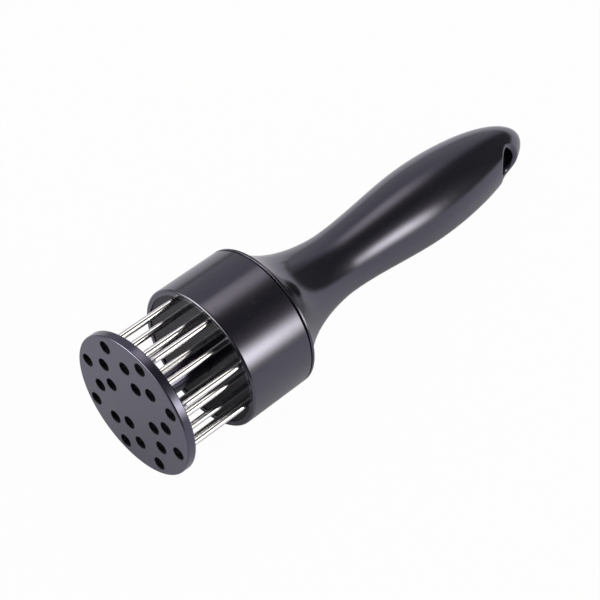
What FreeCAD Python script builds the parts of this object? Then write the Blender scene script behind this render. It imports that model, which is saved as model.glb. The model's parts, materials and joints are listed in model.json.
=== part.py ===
import FreeCAD, Part
import math
import os
import Sketcher

# Needle meat tenderizer: a perforated guard on a sprung post slides over twenty needles.
# Each piece is drawn about the tool's own axis: z = 0 is the guard's front face and z grows
# towards the handle's tip. The last step lays the tool on its side, on the lip and the grip.

SIZES = {
    # guard disc, and the post pressed into its back
    "guard_overhang": 0.3,
    "guard_thickness": 3.6,
    "guard_front_round": 0.5,
    "guard_back_round": 0.7,
    "guard_hole_diameter": 4.8,
    "post_diameter": 10.4,
    "post_tenon_diameter": 7.0,
    "post_tenon_length": 2.0,
    "guard_travel": 27.1,
    "guard_end_gap": 0.3,
    # needles
    "needle_diameter": 2.5,
    "needle_point_length": 5.0,
    "needle_recess": 1.4,
    "needle_head_diameter": 3.6,
    "needle_head_thickness": 1.2,
    "ring_wall_margin": 2.1,
    "ring_bush_margin": 4.0,
    "outer_ring_count": 8,
    "middle_ring_count": 8,
    "inner_ring_count": 4,
    "middle_ring_turn": 22.5,
    # cup
    "cup_diameter": 56.0,
    "cup_length": 27.9,
    "cup_wall": 2.3,
    "cup_front_round": 0.5,
    "cup_back_round": 0.35,
    "ledge_width": 2.3,
    "web_thickness": 4.5,
    "spigot_length": 4.7,
    "spigot_wall": 3.3,
    # needle carrier inside the cup's mouth
    "carrier_recess": 0.5,
    "pin_plate_thickness": 7.0,
    "backing_plate_thickness": 3.0,
    "pin_plate_lip": 2.0,
    "bush_wall": 1.75,
    "bush_flange_width": 1.4,
    "bush_flange_thickness": 1.5,
    # carrier screws
    "carrier_screw_diameter": 3.0,
    "carrier_screw_depth": 4.5,
    "carrier_screw_head_diameter": 5.6,
    "carrier_screw_head_thickness": 2.0,
    "carrier_screw_seat_depth": 2.6,
    "pillar_bush_margin": 0.7,
    "carrier_screw_turn": 45.0,
    "carrier_screw_count": 4,
    "pillar_diameter": 6.8,
    # stop at the post's rear end
    "stop_flange_diameter": 15.6,
    "stop_flange_thickness": 3.0,
    "stop_screw_diameter": 2.9,
    "stop_screw_depth": 12.0,
    "stop_screw_head_diameter": 10.0,
    "stop_screw_head_thickness": 2.2,
    "screw_slot_width": 1.0,
    "screw_slot_depth": 1.0,
    # return spring
    "spring_wire": 1.0,
    "spring_mean_diameter": 13.6,
    "spring_turns": 12,
    # handle
    "bore_diameter": 16.2,
    "spring_room": 55.9,
    "core_diameter": 12.0,
    "core_length": 70.0,
    "core_end_cone": 4.0,
    "groove_width": 0.5,
    "groove_depth": 0.8,
    "lip_width": 1.1,
    "lip_round": 0.3,
    "flare_step": 0.4,
    "flare_angle": 52.5,
    "flare_pull": 16.0,
    "waist_diameter": 25.1,
    "waist_distance": 38.5,
    "waist_pull": 8.0,
    "grip_diameter": 31.7,
    "grip_distance": 86.5,
    "handle_length": 140.8,
    "hang_hole_diameter": 11.0,
    "hang_hole_from_tip": 16.4,
    "hang_hole_turn": 72.0,
    "hang_hole_round": 1.6,
    # named clearances
    "slide_clearance": 0.05,
    "fit_clearance": 0.05,
    "free_clearance": 0.3,
    "stop_clearance": 0.1,
    # how the tool lies
    "lay_roll": 6.5,
}

os.makedirs("parts", exist_ok=True)
doc = FreeCAD.newDocument("tenderizer")
sheet = doc.addObject("Spreadsheet::Sheet", "sizes")
for row, (name, value) in enumerate(SIZES.items(), start=1):
    sheet.set(f"A{row}", name)
    sheet.set(f"B{row}", str(value))
    sheet.setAlias(f"B{row}", name)
doc.recompute()


class Size:
    """A length with its number and the sheet expression that gives it."""

    def __init__(self, value, text):
        self.value = value
        self.text = text

    def _join(self, other, sign, result):
        text = other.text if isinstance(other, Size) else str(other)
        return Size(result, f"({self.text} {sign} {text})")

    def __add__(self, other):
        return self._join(other, "+", self.value + number(other))

    def __sub__(self, other):
        return self._join(other, "-", self.value - number(other))

    def __mul__(self, other):
        return self._join(other, "*", self.value * number(other))

    def __truediv__(self, other):
        return self._join(other, "/", self.value / number(other))


def number(thing):
    return thing.value if isinstance(thing, Size) else thing


def s(name):
    return Size(SIZES[name], f"sizes.{name}")


def turned(radius, degrees):
    """The x and y of a point at a radius and an angle about the tool's axis."""
    angle = math.radians(number(degrees))
    across = Size(radius.value * math.cos(angle), f"({radius.text} * cos({degrees.text}))")
    along = Size(radius.value * math.sin(angle), f"({radius.text} * sin({degrees.text}))")
    return across, along


ZERO = Size(0.0, "0")

# Stations along the tool's axis.
guard_back = s("guard_thickness")
cup_front = guard_back + s("guard_travel") + s("guard_end_gap")
cup_back = cup_front + s("cup_length")
carrier_front = cup_front + s("carrier_recess")
pin_plate_back = carrier_front + s("pin_plate_thickness")
ledge = pin_plate_back + s("backing_plate_thickness")
web_back = cup_back - s("spigot_length") - s("fit_clearance")
web_front = web_back - s("web_thickness")
spigot_front = cup_back - s("spigot_length")
bush_front = carrier_front + s("pin_plate_lip")
bush_back = ledge + s("bush_flange_thickness")
post_end = bush_back + s("stop_clearance")
flange_back = post_end + s("stop_flange_thickness")
bore_end = flange_back + s("spring_room")
core_end = bore_end + s("core_length")
groove_back = cup_back + s("groove_width")
lip_back = groove_back + s("lip_width")
handle_tip = lip_back + s("handle_length")
waist_station = lip_back + s("waist_distance")
grip_station = lip_back + s("grip_distance")
nose_length = handle_tip - grip_station
hang_hole_station = handle_tip - s("hang_hole_from_tip")

# Radii.
post_radius = s("post_diameter") / 2
cup_radius = s("cup_diameter") / 2
guard_radius = cup_radius + s("guard_overhang")
cup_bore = cup_radius - s("cup_wall")
carrier_radius = cup_bore - s("fit_clearance")
ledge_bore = cup_bore - s("ledge_width")
spigot_bore = cup_radius - s("spigot_wall")
spigot_radius = spigot_bore - s("fit_clearance")
bush_bore = post_radius + s("slide_clearance")
bush_radius = bush_bore + s("bush_wall")
bush_seat = bush_radius + s("fit_clearance")
bush_flange_radius = bush_radius + s("bush_flange_width")
pin_plate_bore = post_radius + s("free_clearance")
flange_radius = s("stop_flange_diameter") / 2
bore_radius = s("bore_diameter") / 2
tenon_radius = s("post_tenon_diameter") / 2
tenon_seat = tenon_radius + s("fit_clearance")
needle_radius = s("needle_diameter") / 2
needle_head_radius = s("needle_head_diameter") / 2
carrier_screw_radius = s("carrier_screw_diameter") / 2
carrier_screw_head_radius = s("carrier_screw_head_diameter") / 2
stop_screw_radius = s("stop_screw_diameter") / 2
pillar_radius = s("pillar_diameter") / 2
pillar_circle = bush_flange_radius + pillar_radius + s("pillar_bush_margin")
outer_ring = cup_bore - s("ring_wall_margin")
inner_ring = bush_radius + s("ring_bush_margin")
middle_ring = (outer_ring + inner_ring) / 2
groove_radius = cup_radius - s("groove_depth")
flare_radius = cup_radius - s("flare_step")
waist_radius = s("waist_diameter") / 2
grip_radius = s("grip_diameter") / 2

RINGS = [
    ("outer", outer_ring, ZERO, "outer_ring_count"),
    ("middle", middle_ring, s("middle_ring_turn"), "middle_ring_count"),
    ("inner", inner_ring, ZERO, "inner_ring_count"),
]


def bind(sketch, constraint, length):
    index = sketch.addConstraint(constraint)
    sketch.setExpression(f"Constraints[{index}]", length.text)


def place_point(sketch, geometry, end, point):
    """Holds one end of a piece of geometry at a point given by two sizes."""
    across, up = point
    bind(sketch, Sketcher.Constraint("DistanceX", -1, 1, geometry, end, across.value), across)
    bind(sketch, Sketcher.Constraint("DistanceY", -1, 1, geometry, end, up.value), up)


def flat(point):
    return FreeCAD.Vector(point[0].value, point[1].value, 0)


def new_body(label):
    body = doc.addObject("PartDesign::Body", label)
    body.Label = label
    return body


def new_sketch(body, plane, name, station=None):
    """A sketch on one of the body's origin planes, lifted to a station along the axis."""
    sketch = body.newObject("Sketcher::SketchObject", f"{body.Name}_{name}")
    support = next(part for part in body.Origin.OriginFeatures if part.Role == plane)
    sketch.AttachmentSupport = (support, [""])
    sketch.MapMode = "FlatFace"
    if station is not None:
        sketch.AttachmentOffset = FreeCAD.Placement(FreeCAD.Vector(0, 0, station.value), FreeCAD.Rotation())
        sketch.setExpression("AttachmentOffset.Base.z", station.text)
    return sketch


def draw_outline(sketch, points):
    """Closed outline of straight lines through points given as pairs of sizes."""
    count = len(points)
    first = sketch.GeometryCount
    for index in range(count):
        start = flat(points[index])
        stop = flat(points[(index + 1) % count])
        sketch.addGeometry(Part.LineSegment(start, stop), False)
    for index in range(count):
        following = first + (index + 1) % count
        sketch.addConstraint(Sketcher.Constraint("Coincident", first + index, 2, following, 1))
    for index, point in enumerate(points):
        place_point(sketch, first + index, 1, point)


def revolve(body, sketch):
    feature = body.newObject("PartDesign::Revolution", f"{body.Name}_turned")
    feature.Profile = sketch
    feature.ReferenceAxis = (sketch, ["V_Axis"])
    feature.Angle = 360
    sketch.Visibility = False
    return feature


def lathe(label, points):
    """A body turned about the tool's axis from an outline of (radius, station) points."""
    body = new_body(label)
    sketch = new_sketch(body, "XZ_Plane", "outline")
    draw_outline(sketch, points)
    revolve(body, sketch)
    doc.recompute()
    return body


def round_edges(body, radius, wanted, name):
    """Fillets the edges of the body's tip that the wanted test picks."""
    base = body.Tip
    picked = [f"Edge{index}" for index, edge in enumerate(base.Shape.Edges, start=1) if wanted(edge)]
    fillet = body.newObject("PartDesign::Fillet", f"{body.Name}_{name}")
    fillet.Base = (base, picked)
    fillet.Radius = radius.value
    fillet.setExpression("Radius", radius.text)
    doc.recompute()
    return fillet


def ring_edge(radius, station):
    """Picks the full circle of a radius about the axis at a station."""

    def wanted(edge):
        if edge.Degenerated or not isinstance(edge.Curve, Part.Circle):
            return False
        centre = edge.Curve.Center
        on_axis = math.hypot(centre.x, centre.y) < 0.01
        same_place = abs(centre.z - station.value) < 0.01
        return on_axis and same_place and abs(edge.Curve.Radius - radius.value) < 0.01

    return wanted


def add_ring(body, kind, name, station, radius, depth, ring):
    """Pads or pockets a ring of circles from a station towards the tool's tip."""
    ring_radius, turn, count_name = ring
    sketch = new_sketch(body, "XY_Plane", name, station)
    centre = turned(ring_radius, turn)
    sketch.addGeometry(Part.Circle(flat(centre), FreeCAD.Vector(0, 0, 1), radius.value), False)
    place_point(sketch, 0, 3, centre)
    bind(sketch, Sketcher.Constraint("Radius", 0, radius.value), radius)
    before = body.Tip.Shape.Volume
    feature = body.newObject(f"PartDesign::{kind}", f"{body.Name}_{name}_first")
    feature.Profile = sketch
    feature.Length = depth.value
    feature.setExpression("Length", depth.text)
    feature.Reversed = kind == "Pocket"
    sketch.Visibility = False
    doc.recompute()
    pattern = body.newObject("PartDesign::PolarPattern", f"{body.Name}_{name}")
    pattern.Originals = [feature]
    pattern.Axis = (sketch, ["N_Axis"])
    pattern.Angle = 360
    pattern.Occurrences = SIZES[count_name]
    pattern.setExpression("Occurrences", f"sizes.{count_name}")
    body.Tip = pattern
    doc.recompute()
    change = pattern.Shape.Volume - before
    if (change < 0) != (kind == "Pocket"):
        raise RuntimeError(f"{body.Label}: {name} changed the volume by {change:.1f}")
    return pattern


def cut_slot(body, station, head_radius):
    """A screwdriver slot across a head, sunk from a station back towards the guard."""
    sketch = new_sketch(body, "XY_Plane", "slot", station)
    depth = s("screw_slot_depth")
    half_width = s("screw_slot_width") / 2
    half_length = head_radius * 2
    corners = [
        (half_length * -1, half_width * -1),
        (half_length, half_width * -1),
        (half_length, half_width),
        (half_length * -1, half_width),
    ]
    draw_outline(sketch, corners)
    before = body.Tip.Shape.Volume
    slot = body.newObject("PartDesign::Pocket", f"{body.Name}_slotted")
    slot.Profile = sketch
    slot.Length = depth.value
    slot.setExpression("Length", depth.text)
    sketch.Visibility = False
    doc.recompute()
    if slot.Shape.Volume >= before:
        raise RuntimeError(f"{body.Label}: the slot cuts nothing")
    return slot


carrier_screw_ring = (pillar_circle, s("carrier_screw_turn"), "carrier_screw_count")


def make_guard():
    socket_end = guard_back - s("post_tenon_length") - s("fit_clearance")
    body = lathe("guard", [
        (ZERO, ZERO),
        (guard_radius, ZERO),
        (guard_radius, guard_back),
        (tenon_seat, guard_back),
        (tenon_seat, socket_end),
        (ZERO, socket_end),
    ])
    round_edges(body, s("guard_front_round"), ring_edge(guard_radius, ZERO), "front_round")
    round_edges(body, s("guard_back_round"), ring_edge(guard_radius, guard_back), "back_round")
    hole_radius = s("guard_hole_diameter") / 2
    for name, radius, turn, count_name in RINGS:
        ring = (radius, turn, count_name)
        add_ring(body, "Pocket", f"{name}_holes", ZERO, hole_radius, guard_back, ring)
    return body


def make_guard_post():
    front = guard_back - s("post_tenon_length")
    tap_end = flange_back - s("stop_screw_depth")
    return lathe("guard_post", [
        (ZERO, front),
        (tenon_radius, front),
        (tenon_radius, guard_back),
        (post_radius, guard_back),
        (post_radius, post_end),
        (tenon_radius, post_end),
        (tenon_radius, flange_back),
        (stop_screw_radius, flange_back),
        (stop_screw_radius, tap_end),
        (ZERO, tap_end),
    ])


def make_cup():
    body = lathe("cup", [
        (cup_bore, cup_front),
        (cup_radius, cup_front),
        (cup_radius, cup_back),
        (spigot_bore, cup_back),
        (spigot_bore, web_back),
        (bore_radius, web_back),
        (bore_radius, web_front),
        (ledge_bore, web_front),
        (ledge_bore, ledge),
        (cup_bore, ledge),
    ])
    round_edges(body, s("cup_front_round"), ring_edge(cup_radius, cup_front), "front_round")
    round_edges(body, s("cup_back_round"), ring_edge(cup_radius, cup_back), "back_round")
    add_ring(body, "Pad", "pillars", ledge, pillar_radius, web_front - ledge, carrier_screw_ring)
    hole = carrier_screw_radius + s("fit_clearance")
    add_ring(body, "Pocket", "screw_holes", ledge, hole, web_back - ledge, carrier_screw_ring)
    seat = carrier_screw_head_radius + s("free_clearance")
    seat_depth = s("carrier_screw_seat_depth")
    add_ring(body, "Pocket", "screw_seats", web_back - seat_depth, seat, seat_depth, carrier_screw_ring)
    return body


def make_pin_plate():
    body = lathe("pin_plate", [
        (pin_plate_bore, carrier_front),
        (carrier_radius, carrier_front),
        (carrier_radius, pin_plate_back),
        (bush_seat, pin_plate_back),
        (bush_seat, bush_front),
        (pin_plate_bore, bush_front),
    ])
    hole = needle_radius + s("fit_clearance")
    head = needle_head_radius + s("fit_clearance")
    head_front = pin_plate_back - s("needle_head_thickness")
    for name, radius, turn, count_name in RINGS:
        ring = (radius, turn, count_name)
        add_ring(body, "Pocket", f"{name}_holes", carrier_front, hole, s("pin_plate_thickness"), ring)
        add_ring(body, "Pocket", f"{name}_heads", head_front, head, s("needle_head_thickness"), ring)
    tap_front = pin_plate_back - s("carrier_screw_depth")
    tap = carrier_screw_radius + s("fit_clearance")
    add_ring(body, "Pocket", "taps", tap_front, tap, s("carrier_screw_depth"), carrier_screw_ring)
    return body


def make_backing_plate():
    body = lathe("backing_plate", [
        (bush_seat, pin_plate_back),
        (carrier_radius, pin_plate_back),
        (carrier_radius, ledge),
        (bush_seat, ledge),
    ])
    hole = carrier_screw_radius + s("fit_clearance")
    depth = s("backing_plate_thickness")
    add_ring(body, "Pocket", "screw_holes", pin_plate_back, hole, depth, carrier_screw_ring)
    return body


def make_guide_bush():
    return lathe("guide_bush", [
        (bush_bore, bush_front),
        (bush_radius, bush_front),
        (bush_radius, ledge),
        (bush_flange_radius, ledge),
        (bush_flange_radius, bush_back),
        (bush_bore, bush_back),
    ])


def make_stop_flange():
    return lathe("stop_flange", [
        (tenon_seat, post_end),
        (flange_radius, post_end),
        (flange_radius, flange_back),
        (tenon_seat, flange_back),
    ])


def make_stop_screw():
    head_back = flange_back + s("stop_screw_head_thickness")
    head_radius = s("stop_screw_head_diameter") / 2
    shank = stop_screw_radius - s("fit_clearance")
    body = lathe("stop_screw", [
        (ZERO, flange_back - s("stop_screw_depth")),
        (shank, flange_back - s("stop_screw_depth")),
        (shank, flange_back),
        (head_radius, flange_back),
        (head_radius, head_back),
        (ZERO, head_back),
    ])
    cut_slot(body, head_back, head_radius)
    return body


def make_needle(label):
    tip = s("needle_recess")
    head_front = pin_plate_back - s("needle_head_thickness")
    return lathe(label, [
        (ZERO, tip),
        (needle_radius, tip + s("needle_point_length")),
        (needle_radius, head_front),
        (needle_head_radius, head_front),
        (needle_head_radius, pin_plate_back),
        (ZERO, pin_plate_back),
    ])


def make_carrier_screw(label):
    seat = web_back - s("carrier_screw_seat_depth")
    tip = pin_plate_back - s("carrier_screw_depth")
    head_back = seat + s("carrier_screw_head_thickness")
    body = lathe(label, [
        (ZERO, tip),
        (carrier_screw_radius, tip),
        (carrier_screw_radius, seat),
        (carrier_screw_head_radius, seat),
        (carrier_screw_head_radius, head_back),
        (ZERO, head_back),
    ])
    cut_slot(body, head_back, carrier_screw_head_radius)
    return body


def make_spring():
    """Compression spring between the stop flange and the shoulder of the handle's bore."""
    wire = s("spring_wire")
    start = flange_back + s("stop_clearance") + wire / 2
    length = bore_end - start - wire / 2 - s("stop_clearance")
    helix = doc.addObject("Part::Helix", "spring_helix")
    helix.Radius = SIZES["spring_mean_diameter"] / 2
    helix.setExpression("Radius", "sizes.spring_mean_diameter / 2")
    helix.Height = length.value
    helix.setExpression("Height", length.text)
    helix.Pitch = length.value / SIZES["spring_turns"]
    helix.setExpression("Pitch", f"{length.text} / sizes.spring_turns")
    section = doc.addObject("Part::Circle", "spring_section")
    section.Radius = wire.value / 2
    section.setExpression("Radius", "sizes.spring_wire / 2")
    section.Placement = FreeCAD.Placement(
        FreeCAD.Vector(SIZES["spring_mean_diameter"] / 2, 0, 0),
        FreeCAD.Rotation(FreeCAD.Vector(1, 0, 0), 90),
    )
    section.setExpression("Placement.Base.x", "sizes.spring_mean_diameter / 2")
    spring = doc.addObject("Part::Sweep", "return_spring")
    spring.Sections = [section]
    spring.Spine = (helix, [])
    spring.Solid = True
    spring.Frenet = True
    spring.Label = "return_spring"
    helix.Visibility = False
    section.Visibility = False
    return spring, start


def bend(*points):
    """A smooth curve held by four points: its two ends and the pull of each end."""
    curve = Part.BezierCurve()
    curve.setPoles([FreeCAD.Vector(number(across), number(up), 0) for across, up in points])
    return curve.toBSpline()


def flare_curve():
    """Sweeps in from the lip to the waist."""
    angle = math.radians(SIZES["flare_angle"])
    inward = s("flare_pull") * math.sin(angle)
    upward = s("flare_pull") * math.cos(angle)
    return bend(
        (flare_radius, lip_back),
        (flare_radius - inward, lip_back + upward),
        (waist_radius, waist_station - s("waist_pull")),
        (waist_radius, waist_station),
    )


def swell_curve():
    """Swells evenly from the waist to the grip's widest place."""
    third = (grip_station - waist_station) / 3
    return bend(
        (waist_radius, waist_station),
        (waist_radius, waist_station + third),
        (grip_radius, grip_station - third),
        (grip_radius, grip_station),
    )


def nose_curve():
    """A quarter ellipse from the grip's widest place to the tip."""
    centre = FreeCAD.Vector(0, grip_station.value, 0)
    ellipse = Part.Ellipse(centre, nose_length.value, grip_radius.value)
    ellipse.AngleXU = math.pi / 2
    return Part.ArcOfEllipse(ellipse, -math.pi / 2, 0)


def make_handle():
    body = new_body("handle")
    sketch = new_sketch(body, "XZ_Plane", "outline")
    core_radius = s("core_diameter") / 2
    core_tip = core_end + s("core_end_cone")
    points = [
        (ZERO, handle_tip),
        (ZERO, core_tip),
        (core_radius, core_end),
        (core_radius, bore_end),
        (bore_radius, bore_end),
        (bore_radius, spigot_front),
        (spigot_radius, spigot_front),
        (spigot_radius, cup_back),
        (groove_radius, cup_back),
        (groove_radius, groove_back),
        (cup_radius, groove_back),
        (cup_radius, lip_back),
        (flare_radius, lip_back),
    ]
    for start, stop in zip(points, points[1:]):
        sketch.addGeometry(Part.LineSegment(flat(start), flat(stop)), False)
    lines = len(points) - 1
    for index in range(lines - 1):
        sketch.addConstraint(Sketcher.Constraint("Coincident", index, 2, index + 1, 1))
    for index, point in enumerate(points[:-1]):
        place_point(sketch, index, 1, point)
    place_point(sketch, lines - 1, 2, points[-1])
    sketch.addGeometry(flare_curve(), False)
    sketch.addGeometry(swell_curve(), False)
    sketch.addGeometry(nose_curve(), False)
    revolve(body, sketch)
    doc.recompute()
    round_edges(body, s("lip_round"), ring_edge(cup_radius, groove_back), "lip_front_round")
    round_edges(body, s("lip_round"), ring_edge(cup_radius, lip_back), "lip_back_round")
    cut_hang_hole(body)
    return body


def cut_hang_hole(body):
    """Cross hole for a hook, square to the tool's axis, with rounded mouths."""
    radius = s("hang_hole_diameter") / 2
    centre = (ZERO, hang_hole_station)
    sketch = new_sketch(body, "XZ_Plane", "hang_hole")
    sketch.addGeometry(Part.Circle(flat(centre), FreeCAD.Vector(0, 0, 1), radius.value), False)
    place_point(sketch, 0, 3, centre)
    bind(sketch, Sketcher.Constraint("Radius", 0, radius.value), radius)
    hole = body.newObject("PartDesign::Pocket", "handle_hang_hole")
    hole.Profile = sketch
    hole.Type = "ThroughAll"
    hole.Midplane = True
    sketch.Visibility = False
    doc.recompute()

    def mouth(edge):
        if edge.Degenerated or isinstance(edge.Curve, Part.Line):
            return False
        points = edge.discretize(5)
        reaches = [math.hypot(point.x, point.z - hang_hole_station.value) for point in points]
        return all(abs(reach - radius.value) < 0.01 for reach in reaches)

    round_edges(body, s("hang_hole_round"), mouth, "hang_hole_round")


def lay_slope():
    """Fall of the line that touches the lip and the nose ellipse, for each unit along the axis."""
    apart = grip_station.value - (lip_back - s("lip_round")).value
    reach = nose_length.value
    square = apart ** 2 - reach ** 2
    linear = 2 * cup_radius.value * apart
    constant = cup_radius.value ** 2 - grip_radius.value ** 2
    return (linear - math.sqrt(linear ** 2 - 4 * square * constant)) / (2 * square)


def lay_down(pieces):
    """Lays all pieces on their side with the bottom centre of their box at the origin."""
    pitch = 90 + math.degrees(math.atan(lay_slope()))
    tip_over = FreeCAD.Rotation(FreeCAD.Vector(0, 1, 0), pitch)
    roll = FreeCAD.Rotation(FreeCAD.Vector(0, 0, 1), 180 + SIZES["lay_roll"])
    turn = FreeCAD.Placement(FreeCAD.Vector(0, 0, 0), tip_over.multiply(roll))
    box = FreeCAD.BoundBox()
    for piece, own in pieces:
        piece.Placement = turn.multiply(own)
    doc.recompute()
    for piece, own in pieces:
        box.add(piece.Shape.optimalBoundingBox(False))
    drop = FreeCAD.Placement(FreeCAD.Vector(-box.Center.x, -box.Center.y, -box.ZMin), FreeCAD.Rotation())
    for piece, own in pieces:
        piece.Placement = drop.multiply(turn).multiply(own)
    doc.recompute()


def at(across=0.0, along=0.0, up=0.0, spin=0.0):
    """A placement in the upright tool: a shift, and a spin about the tool's axis."""
    return FreeCAD.Placement(
        FreeCAD.Vector(across, along, up), FreeCAD.Rotation(FreeCAD.Vector(0, 0, 1), spin))


def ring_places(radius, turn, count_name):
    count = SIZES[count_name]
    for index in range(count):
        angle = math.radians(number(turn) + 360 * index / count)
        yield number(radius) * math.cos(angle), number(radius) * math.sin(angle)


pieces = [
    (make_handle(), at(spin=SIZES["hang_hole_turn"] - 90)),
    (make_cup(), at()),
    (make_pin_plate(), at()),
    (make_backing_plate(), at()),
    (make_guide_bush(), at()),
    (make_guard(), at()),
    (make_guard_post(), at()),
    (make_stop_flange(), at()),
    (make_stop_screw(), at()),
]
spring, spring_start = make_spring()
pieces.append((spring, at(up=spring_start.value)))

needle_places = [place for name, radius, turn, count in RINGS for place in ring_places(radius, turn, count)]
for index, (across, along) in enumerate(needle_places, start=1):
    pieces.append((make_needle(f"pin_{index:02d}"), at(across, along)))

screws = []
for index, (across, along) in enumerate(ring_places(*carrier_screw_ring), start=1):
    screw = make_carrier_screw(f"carrier_screw_{index}")
    screw.Placement = at(across, along)
    screws.append(screw)
screw_set = doc.addObject("Part::Compound", "carrier_screws")
screw_set.Label = "carrier_screws"
screw_set.Links = screws
doc.recompute()
pieces.append((screw_set, at()))

lay_down(pieces)

failed = [item.Label for item in doc.Objects if "Invalid" in item.State or "Error" in item.State]
if failed:
    raise RuntimeError(f"failed objects: {failed}")
for piece, own in pieces:
    if piece.Shape.isNull() or not piece.Shape.isValid():
        raise RuntimeError(f"bad shape: {piece.Label}")
for piece, own in pieces:
    piece.Shape.exportStep(f"parts/{piece.Label}.step")
    print(piece.Label, len(piece.Shape.Solids), round(piece.Shape.Volume, 1))
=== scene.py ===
import json
import math

import bmesh
import bpy
from mathutils import Matrix, Vector

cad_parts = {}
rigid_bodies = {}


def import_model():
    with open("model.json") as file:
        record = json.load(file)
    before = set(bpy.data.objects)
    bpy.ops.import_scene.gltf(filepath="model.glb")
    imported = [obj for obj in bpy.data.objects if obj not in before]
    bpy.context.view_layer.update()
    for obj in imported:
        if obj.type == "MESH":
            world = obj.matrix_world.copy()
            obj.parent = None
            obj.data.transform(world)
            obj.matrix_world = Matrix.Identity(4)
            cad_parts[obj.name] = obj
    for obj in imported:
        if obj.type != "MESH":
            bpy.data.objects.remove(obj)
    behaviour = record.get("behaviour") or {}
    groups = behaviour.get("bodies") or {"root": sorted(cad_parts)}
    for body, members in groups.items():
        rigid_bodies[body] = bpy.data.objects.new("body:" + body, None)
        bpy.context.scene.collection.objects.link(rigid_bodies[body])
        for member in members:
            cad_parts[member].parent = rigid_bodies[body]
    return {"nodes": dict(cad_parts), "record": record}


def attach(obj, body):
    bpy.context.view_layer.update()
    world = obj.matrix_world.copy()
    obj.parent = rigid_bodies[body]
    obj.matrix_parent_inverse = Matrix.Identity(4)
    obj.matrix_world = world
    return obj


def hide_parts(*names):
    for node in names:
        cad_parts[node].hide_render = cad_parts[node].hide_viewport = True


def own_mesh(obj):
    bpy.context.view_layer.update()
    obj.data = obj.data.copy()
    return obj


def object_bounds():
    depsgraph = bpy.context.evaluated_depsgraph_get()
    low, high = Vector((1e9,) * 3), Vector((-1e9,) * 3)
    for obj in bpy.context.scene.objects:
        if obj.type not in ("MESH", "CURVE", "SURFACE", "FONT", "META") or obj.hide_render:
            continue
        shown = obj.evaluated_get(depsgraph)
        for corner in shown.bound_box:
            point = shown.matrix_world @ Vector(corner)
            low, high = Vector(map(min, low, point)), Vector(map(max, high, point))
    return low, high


for leftover in list(bpy.data.objects):
    bpy.data.objects.remove(leftover)
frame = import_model()
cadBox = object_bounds()
scene = bpy.context.scene
nodes = frame["nodes"]
mounts = {mount["name"]: mount for mount in frame["record"]["mounts"]}
mm = 0.001
micron = 0.001 * mm
onAxis = 0.1 * micron
print("frame loaded:", len(nodes), "nodes")

# The tool's own axes: z runs from the guard's front face towards the hang hole,
# and x points at the first needle of the outer ring.
hangHoleTurn = math.radians(72.0)
guardFace = Vector(mounts["guard_face"]["pos_m"])
alongTool = -Vector(mounts["guard_face"]["axis"]).normalized()
holeAxis = Vector(mounts["hang_hole"]["axis"])
toNeedle = Matrix.Rotation(-hangHoleTurn, 3, alongTool) @ holeAxis
toNeedle = (toNeedle - alongTool * toNeedle.dot(alongTool)).normalized()
acrossTool = alongTool.cross(toNeedle)
toolFrame = Matrix((toNeedle, acrossTool, alongTool)).transposed().to_4x4()
toolFrame.translation = guardFace


def placeObject(name, data):
    thing = bpy.data.objects.new(name, data)
    scene.collection.objects.link(thing)
    return thing


def meshFrom(form, name):
    mesh = bpy.data.meshes.new(name)
    form.to_mesh(mesh)
    form.free()
    return mesh


def emptyMaterial(name):
    material = bpy.data.materials.new(name)
    material.use_nodes = True
    material.node_tree.nodes.clear()
    return material, material.node_tree


def newGroup(name, inputs, outputs):
    group = bpy.data.node_groups.new(name, "ShaderNodeTree")
    group.interface.new_socket("Position", in_out="INPUT", socket_type="NodeSocketVector")
    for label in inputs:
        group.interface.new_socket(label, in_out="INPUT", socket_type="NodeSocketFloat")
    for label in outputs:
        group.interface.new_socket(label, in_out="OUTPUT", socket_type="NodeSocketFloat")
    entry = group.nodes.new("NodeGroupInput")
    leave = group.nodes.new("NodeGroupOutput")
    return group, entry, leave


def addNode(tree, kind, settings=None, **values):
    node = tree.nodes.new("ShaderNode" + kind)
    for key, value in (settings or {}).items():
        setattr(node, key, value)
    for key, value in values.items():
        node.inputs[key.replace("_", " ")].default_value = value
    return node


def doMath(tree, operation, first, second=None, third=None, clamp=False):
    node = addNode(tree, "Math", {"operation": operation, "use_clamp": clamp})
    for socket, value in zip(node.inputs, (first, second, third)):
        if isinstance(value, (int, float)):
            socket.default_value = value
        elif value is not None:
            tree.links.new(value, socket)
    return node.outputs[0]


def stretched(tree, position, scale):
    node = addNode(tree, "VectorMath", {"operation": "MULTIPLY"})
    tree.links.new(position, node.inputs[0])
    node.inputs[1].default_value = scale
    return node.outputs[0]


def dotWith(tree, first, second):
    node = addNode(tree, "VectorMath", {"operation": "DOT_PRODUCT"})
    tree.links.new(first, node.inputs[0])
    if isinstance(second, bpy.types.NodeSocket):
        tree.links.new(second, node.inputs[1])
    else:
        node.inputs[1].default_value = second
    return node.outputs["Value"]


def noiseOn(tree, position, scale, detail, roughness=0.5):
    node = addNode(tree, "TexNoise", Detail=detail, Roughness=roughness)
    tree.links.new(position, node.inputs["Vector"])
    if isinstance(scale, (int, float)):
        node.inputs["Scale"].default_value = scale
    else:
        tree.links.new(scale, node.inputs["Scale"])
    return node.outputs["Fac"]


def between(tree, value, low, high, floor=0.0, ceiling=1.0):
    node = addNode(tree, "MapRange", {"interpolation_type": "SMOOTHSTEP"})
    tree.links.new(value, node.inputs["Value"])
    node.inputs["From Min"].default_value = low
    node.inputs["From Max"].default_value = high
    node.inputs["To Min"].default_value = floor
    node.inputs["To Max"].default_value = ceiling
    return node.outputs["Result"]


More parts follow.
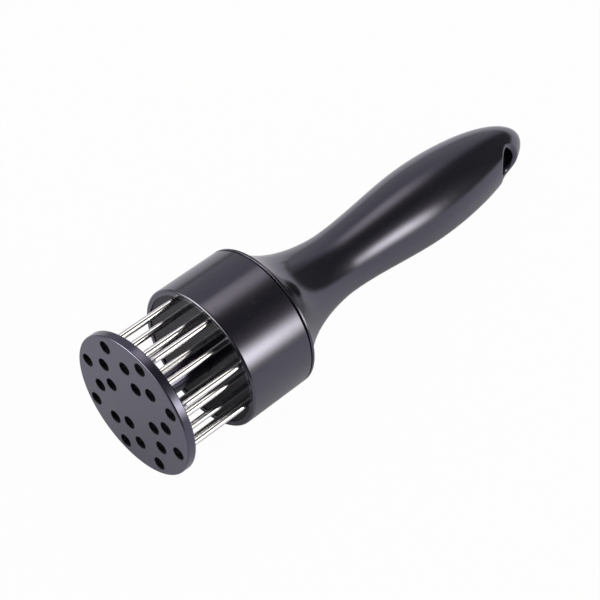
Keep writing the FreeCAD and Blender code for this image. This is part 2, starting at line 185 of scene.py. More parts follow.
def mouldSkinGroup():
    # Fine orange peel over the slow sway of a thick moulding's skin, as a height in metres
    inputs = ["Peel Scale", "Peel Depth", "Sway Scale", "Sway Depth"]
    group, entry, leave = newGroup("Mould Skin", inputs, ["Height"])
    peel = noiseOn(group, entry.outputs["Position"], entry.outputs["Peel Scale"], detail=2.0)
    sway = noiseOn(group, entry.outputs["Position"], entry.outputs["Sway Scale"], detail=1.0)
    fine = doMath(group, "MULTIPLY", peel, entry.outputs["Peel Depth"])
    height = doMath(group, "MULTIPLY_ADD", sway, entry.outputs["Sway Depth"], fine)
    group.links.new(height, leave.inputs["Height"])
    return group


marksLeft = {
    "smudgeFrom": 0.42, "smudgeTo": 0.68,
    "ridgeScale": 2600.0, "ridgeFrom": 0.35, "ridgeTo": 0.65, "ridgeLeast": 0.55,
    "scratchScale": 260.0, "scratchWidth": 0.006,
    "scratchStretches": ((1.0, 0.06, 0.35), (0.12, 1.0, 0.5)),
    "breakScale": 140.0, "breakFrom": 0.52, "breakTo": 0.62,
    "speckScale": 3800.0, "speckFrom": 0.73, "speckTo": 0.78,
}


def handlingGroup():
    # Finger smudges in soft patches, hairline scratches lying in two directions, and specks of dust
    m = marksLeft
    group, entry, leave = newGroup("Handling", ["Smudge Scale"], ["Smudge", "Scratch", "Dust"])
    position = entry.outputs["Position"]
    smears = noiseOn(group, position, entry.outputs["Smudge Scale"], detail=3.0)
    patches = between(group, smears, m["smudgeFrom"], m["smudgeTo"])
    ridges = noiseOn(group, position, m["ridgeScale"], detail=1.0)
    ridged = between(group, ridges, m["ridgeFrom"], m["ridgeTo"], m["ridgeLeast"], 1.0)
    smudge = doMath(group, "MULTIPLY", patches, ridged)
    lines = []
    for stretch in m["scratchStretches"]:
        hair = noiseOn(group, stretched(group, position, stretch), m["scratchScale"], detail=1.0)
        offset = doMath(group, "ABSOLUTE", doMath(group, "SUBTRACT", hair, 0.5))
        lines.append(between(group, offset, 0.0, m["scratchWidth"], 1.0, 0.0))
    gaps = noiseOn(group, position, m["breakScale"], detail=2.0)
    broken = between(group, gaps, m["breakFrom"], m["breakTo"])
    scratch = doMath(group, "MULTIPLY", doMath(group, "MAXIMUM", lines[0], lines[1]), broken)
    grains = noiseOn(group, position, m["speckScale"], detail=0.0)
    specks = between(group, grains, m["speckFrom"], m["speckTo"])
    group.links.new(smudge, leave.inputs["Smudge"])
    group.links.new(scratch, leave.inputs["Scratch"])
    group.links.new(specks, leave.inputs["Dust"])
    return group


edgeRub = {
    "samples": 4, "turnedFrom": 0.80, "turnedTo": 0.995,
    "patchScale": 420.0, "patchFrom": 0.38, "patchTo": 0.66, "patchLeast": 0.15,
}


def edgeWearGroup():
    # Where a small bevel would turn the surface, an edge has rubbed
    e = edgeRub
    group, entry, leave = newGroup("Edge Wear", ["Width"], ["Wear"])
    bevel = group.nodes.new("ShaderNodeBevel")
    bevel.samples = e["samples"]
    group.links.new(entry.outputs["Width"], bevel.inputs["Radius"])
    here = group.nodes.new("ShaderNodeNewGeometry")
    turned = dotWith(group, bevel.outputs["Normal"], here.outputs["Normal"])
    edge = between(group, turned, e["turnedFrom"], e["turnedTo"], 1.0, 0.0)
    rubs = noiseOn(group, entry.outputs["Position"], e["patchScale"], detail=3.0)
    patchy = between(group, rubs, e["patchFrom"], e["patchTo"], e["patchLeast"], 1.0)
    group.links.new(doMath(group, "MULTIPLY", edge, patchy), leave.inputs["Wear"])
    return group


wireDraw = {
    "stretch": (1.0, 1.0, 0.012), "lineRoughness": 0.7,
    "stainScale": 320.0, "stainFrom": 0.45, "stainTo": 0.75,
}


def drawnWireGroup():
    # Hair-fine lines that the drawing die leaves along a wire, whose axis is z
    w = wireDraw
    group, entry, leave = newGroup("Drawn Wire", ["Line Scale"], ["Lines", "Stain"])
    along = stretched(group, entry.outputs["Position"], w["stretch"])
    lines = noiseOn(group, along, entry.outputs["Line Scale"], detail=3.0, roughness=w["lineRoughness"])
    clouds = noiseOn(group, entry.outputs["Position"], w["stainScale"], detail=3.0)
    stain = between(group, clouds, w["stainFrom"], w["stainTo"])
    group.links.new(lines, leave.inputs["Lines"])
    group.links.new(stain, leave.inputs["Stain"])
    return group


mouldSkin = mouldSkinGroup()
handling = handlingGroup()
edgeWear = edgeWearGroup()
drawnWire = drawnWireGroup()
print("surface groups built")


def startMaterial(name):
    material, tree = emptyMaterial(name)
    shader = tree.nodes.new("ShaderNodeBsdfPrincipled")
    output = tree.nodes.new("ShaderNodeOutputMaterial")
    tree.links.new(shader.outputs["BSDF"], output.inputs["Surface"])
    position = tree.nodes.new("ShaderNodeTexCoord").outputs["Object"]
    return material, tree, shader, position


def placeGroup(tree, group, position, **values):
    node = tree.nodes.new("ShaderNodeGroup")
    node.node_tree = group
    tree.links.new(position, node.inputs["Position"])
    for key, value in values.items():
        node.inputs[key.replace("_", " ")].default_value = value
    return node


def mixColours(tree, amount, first, second):
    node = tree.nodes.new("ShaderNodeMix")
    node.data_type = "RGBA"
    tree.links.new(amount, node.inputs["Factor"])
    for socket, value in ((node.inputs["A"], first), (node.inputs["B"], second)):
        if isinstance(value, tuple):
            socket.default_value = (*value, 1.0)
        else:
            tree.links.new(value, socket)
    return node.outputs["Result"]


def sweptNormal(tree, position, look):
    # Evens out the seams of the carried-over mesh between two stations along the tool
    fromFace = addNode(tree, "VectorMath", {"operation": "SUBTRACT"})
    tree.links.new(position, fromFace.inputs[0])
    fromFace.inputs[1].default_value = guardFace
    station = dotWith(tree, fromFace.outputs["Vector"], alongTool)
    start, stop, soft = look["evenFrom"], look["evenTo"], look["evenSoft"]
    rise = between(tree, station, start, start + soft, 0.0, look["evenWidth"])
    fall = between(tree, station, stop - soft, stop, 1.0, 0.0)
    even = tree.nodes.new("ShaderNodeBevel")
    even.samples = look["evenSamples"]
    tree.links.new(doMath(tree, "MULTIPLY", rise, fall), even.inputs["Radius"])
    return even.outputs["Normal"]


def addBump(tree, shader, height):
    bump = tree.nodes.new("ShaderNodeBump")
    bump.inputs["Distance"].default_value = 1.0
    tree.links.new(height, bump.inputs["Height"])
    tree.links.new(bump.outputs["Normal"], shader.inputs["Normal"])
    return bump


def mouldedPlastic(name, look):
    material, tree, shader, position = startMaterial(name)
    skin = placeGroup(tree, mouldSkin, position,
                      Peel_Scale=look["peelScale"], Peel_Depth=look["peelDepth"],
                      Sway_Scale=look["swayScale"], Sway_Depth=look["swayDepth"])
    marks = placeGroup(tree, handling, position, Smudge_Scale=look["smudgeScale"])
    worn = placeGroup(tree, edgeWear, position, Width=look["wearWidth"])
    clouds = noiseOn(tree, position, look["mottleScale"], detail=3.0)
    mottle = between(tree, clouds, look["mottleFrom"], look["mottleTo"])
    colour = mixColours(tree, mottle, look["colour"], look["colourDeep"])
    rubbed = doMath(tree, "MULTIPLY", worn.outputs["Wear"], look["wearShow"])
    colour = mixColours(tree, rubbed, colour, look["colourWorn"])
    dusty = doMath(tree, "MULTIPLY", marks.outputs["Dust"], look["dustShow"])
    colour = mixColours(tree, dusty, colour, look["colourDust"])
    tree.links.new(colour, shader.inputs["Base Color"])
    smudge, scratch, wear = marks.outputs["Smudge"], marks.outputs["Scratch"], worn.outputs["Wear"]
    roughness = doMath(tree, "MULTIPLY_ADD", smudge, look["smudgeRough"], look["roughness"])
    roughness = doMath(tree, "MULTIPLY_ADD", scratch, look["scratchRough"], roughness)
    roughness = doMath(tree, "MULTIPLY_ADD", wear, look["wearRough"], roughness, clamp=True)
    tree.links.new(roughness, shader.inputs["Roughness"])
    bump = addBump(tree, shader, skin.outputs["Height"])
    if "evenWidth" in look:
        tree.links.new(sweptNormal(tree, position, look), bump.inputs["Normal"])
    shader.inputs["IOR"].default_value = look["ior"]
    shader.inputs["Specular Tint"].default_value = (*look["sheenTint"], 1.0)
    return material


def steelMetal(name, look):
    material, tree, shader, position = startMaterial(name)
    drawn = placeGroup(tree, drawnWire, position, Line_Scale=look["lineScale"])
    lines, stain = drawn.outputs["Lines"], drawn.outputs["Stain"]
    colour = mixColours(tree, stain, look["colour"], look["colourStain"])
    roughness = doMath(tree, "MULTIPLY_ADD", lines, look["lineRough"], look["roughness"])
    roughness = doMath(tree, "MULTIPLY_ADD", stain, look["stainRough"], roughness, clamp=True)
    # Near the point the steel turns rougher and much darker: the roughness is its grinding, the dark
    # colour is painted shade where the point sits in the guard's holes
    if "groundShadeTo" in look:
        split = tree.nodes.new("ShaderNodeSeparateXYZ")
        tree.links.new(position, split.inputs["Vector"])
        start = look["groundShadeTo"] - look["groundShadeSoft"]
        groundShade = between(tree, split.outputs["Z"], start, look["groundShadeTo"], 1.0, 0.0)
        colour = mixColours(tree, groundShade, colour, look["colourGroundShade"])
        roughness = doMath(tree, "MULTIPLY_ADD", groundShade, look["groundShadeRough"], roughness, clamp=True)
    tree.links.new(colour, shader.inputs["Base Color"])
    shader.inputs["Metallic"].default_value = 1.0
    tree.links.new(roughness, shader.inputs["Roughness"])
    addBump(tree, shader, doMath(tree, "MULTIPLY", lines, look["lineDepth"]))
    return material


glossLook = {
    "colour": (0.0062, 0.0058, 0.0072), "colourDeep": (0.0050, 0.0047, 0.0058),
    "colourWorn": (0.030, 0.029, 0.032), "colourDust": (0.10, 0.10, 0.10),
    "roughness": 0.12, "smudgeRough": 0.05, "scratchRough": 0.12, "wearRough": 0.12,
    "peelScale": 1300.0, "peelDepth": 0.6 * micron, "swayScale": 70.0, "swayDepth": 22.0 * micron,
    "smudgeScale": 42.0, "mottleScale": 55.0, "mottleFrom": 0.3, "mottleTo": 0.7,
    "wearWidth": 0.4 * mm, "wearShow": 0.5, "dustShow": 0.35,
    "ior": 1.9, "sheenTint": (0.80, 0.77, 1.0),
}
handleLook = {
    **glossLook,
    "evenFrom": 76.0 * mm, "evenTo": 178.0 * mm, "evenSoft": 10.0 * mm,
    "evenWidth": 5.0 * mm, "evenSamples": 8,
}
# The pin plate lies deep in the cup: its colour and its reflection are set darker than the other black
# plastic, as painted shade
plateShadedLook = {
    **glossLook,
    "colour": (0.0036, 0.0034, 0.0042), "colourDeep": (0.0028, 0.0026, 0.0034),
    "roughness": 0.13, "smudgeRough": 0.03, "dustShow": 0.2, "ior": 1.32,
}
guardLook = {
    **glossLook,
    "colour": (0.0095, 0.0085, 0.0125), "colourDeep": (0.0075, 0.0068, 0.0100),
    "colourWorn": (0.040, 0.038, 0.044),
    "roughness": 0.16, "peelScale": 2600.0, "peelDepth": 1.0 * micron, "swayDepth": 8.0 * micron,
    "ior": 1.96, "sheenTint": (0.735, 0.707, 1.0),
}
holeLook = {**glossLook, "roughness": 0.55, "ior": 1.25, "dustShow": 0.0, "wearShow": 0.0}
bushLook = {
    **glossLook,
    "colour": (0.74, 0.72, 0.67), "colourDeep": (0.66, 0.64, 0.58),
    "colourWorn": (0.8, 0.79, 0.75), "colourDust": (0.4, 0.39, 0.37),
    "roughness": 0.42, "ior": 1.48, "sheenTint": (1.0, 1.0, 1.0),
}
steelLook = {
    "colour": (0.80, 0.79, 0.80), "colourStain": (0.70, 0.685, 0.69),
    "roughness": 0.09, "lineRough": 0.10, "stainRough": 0.05,
    "lineScale": 5200.0, "lineDepth": 1.6 * micron,
}
needleLook = {
    **steelLook,
    # The point's first 3.6 mm sit in the guard's holes: their dark colour is painted shade, their
    # roughness the grinding
    "groundShadeTo": 3.6 * mm, "groundShadeSoft": 0.5 * mm,
    "colourGroundShade": (0.30, 0.30, 0.31), "groundShadeRough": 0.30,
}
zincLook = {
    **steelLook, "colour": (0.62, 0.63, 0.64), "colourStain": (0.5, 0.5, 0.49), "roughness": 0.28,
}
springLook = {
    **steelLook, "colour": (0.45, 0.44, 0.42), "colourStain": (0.33, 0.31, 0.28), "roughness": 0.26,
}

glossBlack = mouldedPlastic("glossBlack", glossLook)
handleBlack = mouldedPlastic("handleBlack", handleLook)
plateShadedBlack = mouldedPlastic("plateShadedBlack", plateShadedLook)
guardBlack = mouldedPlastic("guardBlack", guardLook)
holeBlack = mouldedPlastic("holeBlack", holeLook)
bushWhite = mouldedPlastic("bushWhite", bushLook)
needleSteel = steelMetal("needleSteel", needleLook)
zincSteel = steelMetal("zincSteel", zincLook)
springSteel = steelMetal("springSteel", springLook)
print("materials built")


def dressNode(name, material):
    for surface in nodes[name].material_slots:
        surface.link = "OBJECT"
        surface.material = material


nodeFinishes = {
    "handle": handleBlack, "pin_plate": plateShadedBlack, "backing_plate": plateShadedBlack,
    "guide_bush": bushWhite, "stop_flange": bushWhite,
    "carrier_screws": zincSteel, "stop_screw": zincSteel, "guard_post": guardBlack,
}
for name, material in nodeFinishes.items():
    dressNode(name, material)
print("carried-over nodes dressed")


def addPiece(name, mesh, body, material, place=None):
    # Its place is in the mesh, unless several pieces share the mesh
    piece = placeObject(name, mesh)
    if place is None:
        mesh.transform(toolFrame)
    else:
        piece.matrix_world = toolFrame @ place
    if not mesh.materials:
        mesh.materials.append(material)
    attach(piece, body)
    return piece


def evenNormals(piece):
    weighted = piece.modifiers.new("evenNormals", "WEIGHTED_NORMAL")
    weighted.keep_sharp = True


def closeMesh(form, name, sharpAngle=30.0):
    bmesh.ops.recalc_face_normals(form, faces=form.faces)
    mesh = meshFrom(form, name)
    mesh.shade_smooth()
    mesh.set_sharp_from_angle(angle=math.radians(sharpAngle))
    return mesh


def quarterRound(centre, radius, start, steps):
    # Points of a quarter circle about a (radius, station) centre, turning left from a start angle
    points = []
    for step in range(steps + 1):
        angle = math.radians(start + 90.0 * step / steps)
        points.append((centre[0] + radius * math.cos(angle), centre[1] + radius * math.sin(angle)))
    return points


def turnProfile(form, profile, segments, closed=False):
    # Spins (radius, station) points about z; a radius of nothing is one point on the axis
    rings = []
    for radius, station in profile:
        if radius < onAxis:
            rings.append([form.verts.new((0.0, 0.0, station))])
            continue
        ring = []
        for index in range(segments):
            angle = 2.0 * math.pi * index / segments
            spot = (radius * math.cos(angle), radius * math.sin(angle), station)
            ring.append(form.verts.new(spot))
        rings.append(ring)
    for first, second in zip(rings, rings[1:] + (rings[:1] if closed else [])):
        for index in range(segments):
            following = (index + 1) % segments
            corners = []
            for ring, picks in ((first, (index, following)), (second, (following, index))):
                corners += [ring[0]] if len(ring) == 1 else [ring[pick] for pick in picks]
            form.faces.new(corners)
    return rings


needleRings = [
    {"radius": 23.6 * mm, "count": 8, "turn": 0.0},
    {"radius": 17.3 * mm, "count": 8, "turn": 22.5},
    {"radius": 11.0 * mm, "count": 4, "turn": 0.0},
]


def needlePlaces():
    for ring in needleRings:
        for index in range(ring["count"]):
            angle = math.radians(ring["turn"] + 360.0 * index / ring["count"])
            yield ring["radius"] * math.cos(angle), ring["radius"] * math.sin(angle)


guardDisc = {
    "radius": 28.3 * mm, "thickness": 3.6 * mm,
    "frontRound": 0.6 * mm, "backRound": 0.5 * mm,
    "holeRadius": 2.4 * mm, "holeRound": 0.28 * mm,
    "socketRadius": 3.55 * mm, "socketDepth": 2.0 * mm,
    "segments": 192, "holeSegments": 48, "roundSteps": 8, "holeSteps": 4, "sharpAngle": 40.0,
}


def makeGuardDisc():
    # The rim, the hole walls and the post's socket are turned; flat faces fill in between them
    d = guardDisc
    form = bmesh.new()
    thickness, radius, steps = d["thickness"], d["radius"], d["roundSteps"]
    nose, tail = d["frontRound"], d["backRound"]
    front = quarterRound((radius - nose, nose), nose, -90.0, steps)
    back = quarterRound((radius - tail, thickness - tail), tail, 0.0, steps)
    rim = turnProfile(form, front + back, d["segments"])
    frontEdges, backEdges = [rim[0]], [rim[-1]]
    hole, soft = d["holeRadius"], d["holeRound"]
    holeFront = quarterRound((hole + soft, soft), soft, 180.0, d["holeSteps"])
    holeBack = quarterRound((hole + soft, thickness - soft), soft, 90.0, d["holeSteps"])
    wall = holeFront[::-1] + holeBack[::-1]
    rimFaces = len(form.faces)
    for across, along in needlePlaces():
        rings = turnProfile(form, wall, d["holeSegments"])
        for ring in rings:
            for corner in ring:
                corner.co.x += across
                corner.co.y += along
        frontEdges.append(rings[0])
        backEdges.append(rings[-1])
    form.faces.ensure_lookup_table()
    for face in form.faces[rimFaces:]:
        face.material_index = 1
    socket, floor = d["socketRadius"], thickness - d["socketDepth"]
    sides = turnProfile(form, [(socket, thickness), (socket, floor), (0.0, floor)], d["holeSegments"])
    backEdges.append(sides[0])
    for loops in (frontEdges, backEdges):
        edges = []
        for ring in loops:
            for first, second in zip(ring, ring[1:] + ring[:1]):
                edges.append(form.edges.get((first, second)))
        bmesh.ops.triangle_fill(form, edges=edges, use_beauty=True)
    return closeMesh(form, "guard_disc", d["sharpAngle"])


disc = addPiece("guard_disc", makeGuardDisc(), "guard", guardBlack)
disc.data.materials.append(holeBlack)
evenNormals(disc)
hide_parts("guard")
print("guard disc made")

cupShell = {
    "front": 31.0 * mm, "back": 58.9 * mm, "radius": 28.0 * mm,
    "frontRound": 0.9 * mm, "backRound": 0.35 * mm,
    "mouth": 25.7 * mm, "mouthRound": 0.3 * mm, "ledge": 41.5 * mm, "ledgeBore": 23.4 * mm,
    "webFront": 49.65 * mm, "webBack": 54.15 * mm, "postBore": 8.1 * mm, "spigotBore": 24.7 * mm,
    "segments": 256, "roundSteps": 8,
}


def makeCupShell():
    c = cupShell
    nose, tail, lip, steps = c["frontRound"], c["backRound"], c["mouthRound"], c["roundSteps"]
    profile = quarterRound((c["radius"] - nose, c["front"] + nose), nose, -90.0, steps)
    profile += quarterRound((c["radius"] - tail, c["back"] - tail), tail, 0.0, steps)
    profile += [(c["spigotBore"], c["back"]), (c["spigotBore"], c["webBack"])]
    profile += [(c["postBore"], c["webBack"]), (c["postBore"], c["webFront"])]
    profile += [(c["ledgeBore"], c["webFront"]), (c["ledgeBore"], c["ledge"])]
    profile.append((c["mouth"], c["ledge"]))
    profile += quarterRound((c["mouth"] + lip, c["front"] + lip), lip, 180.0, steps)
    form = bmesh.new()
    turnProfile(form, profile, c["segments"], closed=True)
    return closeMesh(form, "cup_shell")


shell = addPiece("cup_shell", makeCupShell(), "handle", glossBlack)
evenNormals(shell)
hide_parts("cup")
print("cup shell made")

needle = {
    "radius": 1.25 * mm, "tip": 1.4 * mm, "pointLength": 5.0 * mm,
    "tipRadius": 0.09 * mm, "tipFlat": 0.063 * mm, "tipFlatBack": 0.03 * mm,
    "coneShares": (0.25, 0.5, 0.75), "shoulder": 0.35 * mm, "shoulderShare": 0.25,
    "headFront": 37.3 * mm, "back": 38.5 * mm, "headRadius": 1.8 * mm,
    "segments": 40, "sharpAngle": 25.0,
}


def makeNeedle():
    # A blunted tip, the ground cone, a soft shoulder, the shank and the head
    n = needle
    tip, radius, shoulder = n["tip"], n["radius"], n["shoulder"]
    slope = radius / n["pointLength"]
    shoulderAt = tip + n["pointLength"]
    profile = [(0.0, tip), (n["tipFlat"], tip + n["tipFlatBack"])]
    profile.append((n["tipRadius"], tip + n["tipRadius"] / slope))
    for share in n["coneShares"]:
        profile.append((radius * share, tip + n["pointLength"] * share))
    profile.append((radius - slope * shoulder, shoulderAt - shoulder))
    profile.append((radius - slope * shoulder * n["shoulderShare"], shoulderAt))
    profile.append((radius, shoulderAt + shoulder))
    profile += [(radius, n["headFront"]), (n["headRadius"], n["headFront"])]
    profile += [(n["headRadius"], n["back"]), (0.0, n["back"])]
    form = bmesh.new()
    turnProfile(form, profile, n["segments"])
    return closeMesh(form, "needle", n["sharpAngle"])


needleMesh = makeNeedle()
for index, (across, along) in enumerate(needlePlaces(), start=1):
    pin = addPiece(f"needle_{index:02d}", needleMesh, "handle", needleSteel,
                   Matrix.Translation((across, along, 0.0)))
    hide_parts(f"pin_{index:02d}")
print("needles made")

spring = {
    "wire": 0.5 * mm, "coil": 6.8 * mm, "front": 46.2 * mm, "back": 101.9 * mm,
    "turns": 11.0, "endTurns": 1.0,
    "turnSteps": 36, "wireSteps": 10, "aheadTurn": 0.01, "sharpAngle": 50.0,
}


def springPoint(turn, total):
    # Closed end turns lie a wire apart; the turns between share out what is left
    s = spring
    endRise = 2.0 * s["wire"] * s["endTurns"]
    front, back = s["front"] + s["wire"], s["back"] - s["wire"]
    if turn < s["endTurns"]:
        rise = front + endRise * turn / s["endTurns"]
    elif turn > total - s["endTurns"]:
        rise = back - endRise * (total - turn) / s["endTurns"]
    else:
        share = (turn - s["endTurns"]) / (total - 2.0 * s["endTurns"])
        rise = front + endRise + (back - front - 2.0 * endRise) * share
    angle = 2.0 * math.pi * turn
    return Vector((s["coil"] * math.cos(angle), s["coil"] * math.sin(angle), rise))


def makeSpring():
    s = spring
    total = s["turns"] + 2.0 * s["endTurns"]
    steps = round(total * s["turnSteps"])
    form = bmesh.new()
    rings = []
    for step in range(steps + 1):
        turn = total * step / steps
        centre = springPoint(turn, total)
        outward = Vector((centre.x, centre.y, 0.0)).normalized()
        before = springPoint(max(0.0, turn - s["aheadTurn"]), total)
        after = springPoint(min(total, turn + s["aheadTurn"]), total)
        upward = (after - before).normalized().cross(outward)
        ring = []
        for index in range(s["wireSteps"]):
            angle = 2.0 * math.pi * index / s["wireSteps"]
            offset = outward * math.cos(angle) + upward * math.sin(angle)
            ring.append(form.verts.new(centre + offset * s["wire"]))
        rings.append(ring)
    for first, second in zip(rings, rings[1:]):
        for index in range(s["wireSteps"]):
            following = (index + 1) % s["wireSteps"]
            form.faces.new((first[index], first[following], second[following], second[index]))
    form.faces.new(rings[0])
    form.faces.new(rings[-1])
    return closeMesh(form, "spring_coil", s["sharpAngle"])


coil = addPiece("spring_coil", makeSpring(), "handle", springSteel)
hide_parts("return_spring")
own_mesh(coil)
print("spring made")

table = {
    "size": 8.0, "colour": (0.82, 0.82, 0.82, 1.0),
    "whiteSeen": 0.975, "whiteMirrored": 0.82, "mirrorTint": (0.95, 0.93, 1.0),
    "contactReach": 0.11, "contactDepth": 2.2, "contactSamples": 6,
    "poolCentre": (0.04, -0.10, 0.0), "poolInner": 0.22, "poolOuter": 0.62,
}


def raysThatShowWhite(tree, seen=1.0, mirrored=1.0):
    # How much of the white backdrop the camera, mirror and see-through rays meet
    path = tree.nodes.new("ShaderNodeLightPath")
    direct = doMath(tree, "MAXIMUM", path.outputs["Is Camera Ray"], path.outputs["Is Transmission Ray"])
    glossy = doMath(tree, "MULTIPLY", path.outputs["Is Glossy Ray"], mirrored)
    return doMath(tree, "MULTIPLY_ADD", direct, seen, glossy, clamp=True)


def mirroredWhite(tree):
    # A pool of light on the table, which the tool's own contact shadow darkens
    t = table
    place = tree.nodes.new("ShaderNodeTexCoord").outputs["Object"]
    away = addNode(tree, "VectorMath", {"operation": "DISTANCE"})
    tree.links.new(place, away.inputs[0])
    away.inputs[1].default_value = t["poolCentre"]
    pool = between(tree, away.outputs["Value"], t["poolInner"], t["poolOuter"], t["whiteMirrored"], 0.0)
    samples = {"samples": t["contactSamples"]}
    contact = addNode(tree, "AmbientOcclusion", samples, Distance=t["contactReach"])
    lit = doMath(tree, "POWER", contact.outputs["AO"], t["contactDepth"])
    return doMath(tree, "MULTIPLY", lit, pool)


def makeTable():
    form = bmesh.new()
    bmesh.ops.create_grid(form, x_segments=1, y_segments=1, size=table["size"] / 2)
    mesh = meshFrom(form, "table_top")
    top = placeObject("table_top", mesh)
    material, tree = emptyMaterial("paleTable")
    matt = addNode(tree, "BsdfDiffuse", Color=table["colour"])
    white = addNode(tree, "Emission", Strength=1.0)
    path = tree.nodes.new("ShaderNodeLightPath")
    tinted = mixColours(tree, path.outputs["Is Glossy Ray"], (1.0, 1.0, 1.0), table["mirrorTint"])
    tree.links.new(tinted, white.inputs["Color"])
    mixed = tree.nodes.new("ShaderNodeMixShader")
    shown = raysThatShowWhite(tree, table["whiteSeen"], mirroredWhite(tree))
    tree.links.new(shown, mixed.inputs["Fac"])
    tree.links.new(matt.outputs["BSDF"], mixed.inputs[1])
    tree.links.new(white.outputs["Emission"], mixed.inputs[2])
    output = tree.nodes.new("ShaderNodeOutputMaterial")
    tree.links.new(mixed.outputs["Shader"], output.inputs["Surface"])
    mesh.materials.append(material)


makeTable()

studio = {"colour": (1.0, 1.0, 1.0, 1.0), "backdrop": 1.0, "fill": 0.35}


def makeWorld():
    world = bpy.data.worlds.new("studio")
    scene.world = world
    world.use_nodes = True
    tree = world.node_tree
    tree.nodes.clear()
    fill = addNode(tree, "Background", Color=studio["colour"], Strength=studio["fill"])
    white = addNode(tree, "Background", Color=studio["colour"], Strength=studio["backdrop"])
    mixed = tree.nodes.new("ShaderNodeMixShader")
    tree.links.new(raysThatShowWhite(tree), mixed.inputs["Fac"])
    tree.links.new(fill.outputs["Background"], mixed.inputs[1])
    tree.links.new(white.outputs["Background"], mixed.inputs[2])
    output = tree.nodes.new("ShaderNodeOutputWorld")
    tree.links.new(mixed.outputs["Shader"], output.inputs["Surface"])


makeWorld()

# The dim room round the table, with one pale wall: only the gloss sees it.
# Turns are measured from +X towards +Y.
room = {
    "radius": 3.0, "sides": 48, "rings": 12,
    "glow": 0.13, "wallGlow": 0.48, "wallTurn": 82.0, "wallReach": 72.0, "wallSoft": 22.0,
}


def aroundTool(turn, lift):
    turn, lift = math.radians(turn), math.radians(lift)
    return Vector((math.cos(turn) * math.cos(lift), math.sin(turn) * math.cos(lift), math.sin(lift)))


def glowMaterial(name, colour, seeThrough=False):
    material, tree = emptyMaterial(name)
    glow = addNode(tree, "Emission", Color=(*colour, 1.0))
    shown = glow.outputs["Emission"]
    if seeThrough:
        clear = tree.nodes.new("ShaderNodeBsdfTransparent")
        both = tree.nodes.new("ShaderNodeAddShader")
        tree.links.new(shown, both.inputs[0])
        tree.links.new(clear.outputs["BSDF"], both.inputs[1])
        shown = both.outputs["Shader"]
    output = tree.nodes.new("ShaderNodeOutputMaterial")
    tree.links.new(shown, output.inputs["Surface"])
    return material, tree, glow


def hideFromCamera(thing):
    thing.visible_camera = False
    thing.visible_diffuse = False
    thing.visible_shadow = False


def makeRoom():
    form = bmesh.new()
    dome = quarterRound((0.0, 0.0), room["radius"], 0.0, room["rings"])
    turnProfile(form, dome, room["sides"])
    mesh = closeMesh(form, "room_wall")
    wall = placeObject("room_wall", mesh)
    material, tree, glow = glowMaterial("roomWall", table["mirrorTint"])
    place = tree.nodes.new("ShaderNodeTexCoord").outputs["Object"]
    outward = addNode(tree, "VectorMath", {"operation": "NORMALIZE"})
    tree.links.new(stretched(tree, place, (1.0, 1.0, 0.0)), outward.inputs[0])
    facing = dotWith(tree, outward.outputs["Vector"], aroundTool(room["wallTurn"], 0.0))
    edge = math.radians(room["wallReach"])
    start = math.radians(room["wallReach"] - room["wallSoft"])
    pale = between(tree, facing, math.cos(edge), math.cos(start))
    strength = doMath(tree, "MULTIPLY_ADD", pale, room["wallGlow"], room["glow"])
    tree.links.new(strength, glow.inputs["Strength"])
    mesh.materials.append(material)
    hideFromCamera(wall)


makeRoom()

# Soft boxes: each is a cloth that glows most in its middle, which the gloss sees,
# with a lamp behind it that does the lighting
softBoxes = [
    {"name": "tall_box", "turn": -66.0, "lift": 19.5, "distance": 0.62,
     "width": 0.90, "height": 0.90, "colour": (1.0, 0.99, 0.875),
     "glow": 9.0, "fadeAcross": 0.068, "fadeUp": 0.096, "halo": 0.6, "haloSpread": 2.4,
     "lampWidth": 0.24, "lampHeight": 0.34, "power": 0.6},
    {"name": "overhead_box", "turn": 50.0, "lift": 55.0, "distance": 0.80,
     "width": 1.20, "height": 1.20, "colour": (1.0, 0.93, 0.82),
     "glow": 1.75, "fadeAcross": 0.180, "fadeUp": 0.122, "halo": 0.05, "haloSpread": 2.0,
     "edgeTurn": 32.0, "edgeStart": -0.175, "edgeStop": -0.105,
     "lampWidth": 0.36, "lampHeight": 0.36, "power": 1.6},
    {"name": "front_box", "turn": 152.0, "lift": 21.0, "distance": 0.70,
     "width": 1.30, "height": 0.90, "colour": (1.0, 1.0, 0.86),
     "glow": 14.0, "fadeAcross": 0.24, "fadeUp": 0.12,
     "lampWidth": 0.20, "lampHeight": 0.20, "power": 0.25},
]
middle = (cadBox[0] + cadBox[1]) / 2


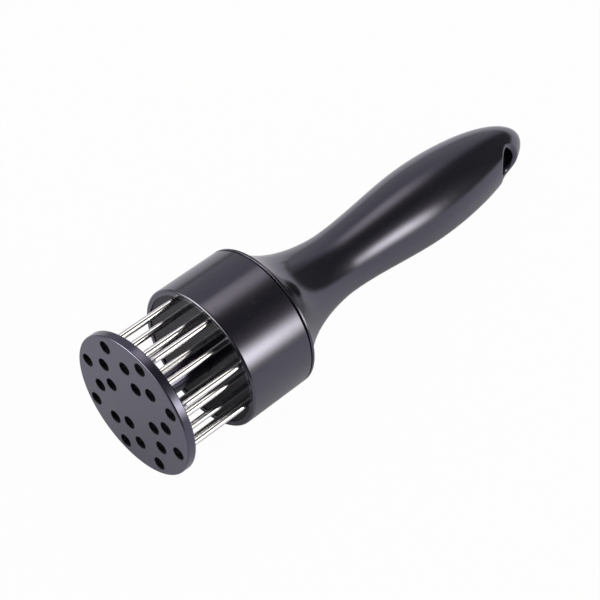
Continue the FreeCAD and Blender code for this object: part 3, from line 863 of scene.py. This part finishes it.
def glowBell(tree, box):
    # A bell-shaped falloff from the middle of the cloth. It may have a wide, faint one round it,
    # and may end at an edge that leans over from level
    place = tree.nodes.new("ShaderNodeTexCoord").outputs["Object"]
    scaled = stretched(tree, place, (1.0 / box["fadeAcross"], 1.0 / box["fadeUp"], 0.0))
    reach = dotWith(tree, scaled, scaled)
    core = doMath(tree, "EXPONENT", doMath(tree, "MULTIPLY", reach, -0.5))
    strength = doMath(tree, "MULTIPLY", core, box["glow"])
    if "halo" in box:
        wide = doMath(tree, "MULTIPLY", reach, -0.5 / box["haloSpread"] ** 2)
        strength = doMath(tree, "MULTIPLY_ADD", doMath(tree, "EXPONENT", wide), box["halo"], strength)
    if "edgeTurn" in box:
        lean = math.radians(box["edgeTurn"])
        beyond = dotWith(tree, place, (-math.sin(lean), math.cos(lean), 0.0))
        edge = between(tree, beyond, box["edgeStart"], box["edgeStop"])
        strength = doMath(tree, "MULTIPLY", strength, edge)
    return strength


def addSoftBox(box):
    outward = aroundTool(box["turn"], box["lift"])
    facing = outward.to_track_quat("Z", "Y")
    light = bpy.data.lights.new(box["name"], "AREA")
    light.shape = "RECTANGLE"
    light.size = box["lampWidth"]
    light.size_y = box["lampHeight"]
    light.energy = box["power"]
    light.color = box["colour"]
    lamp = placeObject(box["name"] + "_lamp", light)
    lamp.location = middle + outward * box["distance"]
    lamp.rotation_euler = facing.to_euler()
    lamp.visible_camera = False
    lamp.visible_glossy = False

    form = bmesh.new()
    bmesh.ops.create_grid(form, x_segments=1, y_segments=1, size=0.5)
    bmesh.ops.scale(form, vec=(box["width"], box["height"], 1.0), verts=form.verts)
    mesh = meshFrom(form, box["name"])
    cloth = placeObject(box["name"], mesh)
    cloth.location = lamp.location
    cloth.rotation_euler = lamp.rotation_euler
    material, tree, glow = glowMaterial(box["name"] + "_cloth", box["colour"], seeThrough=True)
    tree.links.new(glowBell(tree, box), glow.inputs["Strength"])
    mesh.materials.append(material)
    hideFromCamera(cloth)


for box in softBoxes:
    addSoftBox(box)
print("studio lit")

view = {
    "location": (-0.286014, -0.269773, 0.580788), "turn": (34.0208, -0.2849, -44.4108),
    "lens": 111.0, "clipStart": 0.01,
}
camera = placeObject("camera", bpy.data.cameras.new("camera"))
camera.location = view["location"]
camera.rotation_euler = [math.radians(angle) for angle in view["turn"]]
camera.data.lens = view["lens"]
camera.data.clip_start = view["clipStart"]
scene.camera = camera
scene.view_settings.view_transform = "Standard"
print("camera placed")
